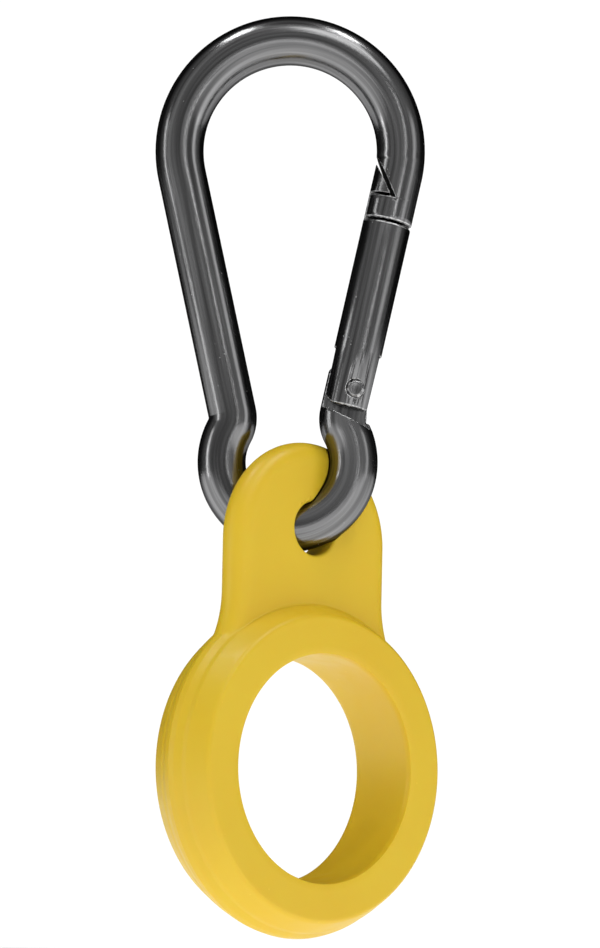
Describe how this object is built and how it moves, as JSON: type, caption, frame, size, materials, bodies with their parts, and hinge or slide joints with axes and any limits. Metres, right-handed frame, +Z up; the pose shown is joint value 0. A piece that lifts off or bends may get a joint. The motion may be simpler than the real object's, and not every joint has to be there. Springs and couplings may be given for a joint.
{
  "type": "bottle carrier hook",
  "caption": "Pear-shaped snap hook of bent rod with a sprung gate; a soft ring hangs from its small lower eye and grips a bottle's neck.",
  "frame": {"origin": "inner crown of the bow, where the hook hangs from a bar or a loop", "axes": "+X towards the gate side, +Z up along the hook, +Y through the hook, away from the side that shows the rivet's front end"},
  "size_m": [0.0324, 0.0292, 0.1033],
  "materials": {
    "hook_steel": "dark bright plating over drawn rod",
    "rivet_steel": "dark bright plating",
    "spring_steel": "bare spring steel",
    "silicone": "satin moulded silicone, yellow"
  },
  "bodies": {
    "hook": {"hook_body": "hook_steel"},
    "gate": {"gate": "hook_steel", "pivot_rivet": "rivet_steel", "gate_spring": "spring_steel"},
    "plunger": {"spring_plunger": "spring_steel"},
    "holder": {"bottle_holder": "silicone"}
  },
  "joints": [
    {"name": "gate_hinge", "type": "hinge", "parent": "hook", "child": "gate", "pos_m": [0.00748, 0, -0.03649], "axis": [0, -1, 0], "range_deg": [0, 38], "stiffness_Nm_per_rad": 0.012, "springref_deg": -34.38},
    {"name": "plunger_slide", "type": "slide", "parent": "gate", "child": "plunger", "axis": [0.2147, 0, 0.9767], "range_m": [0, 0.0015], "deforming": ["gate_spring"]},
    {"name": "holder_sway", "type": "hinge", "parent": "hook", "child": "holder", "pos_m": [0, 0, -0.0445], "axis": [0, -1, 0], "range_deg": [-45, 45]}
  ],
  "couplings": [
    {"joint": "plunger_slide", "follows": "gate_hinge", "m_per_rad": 0.0021}
  ]
}
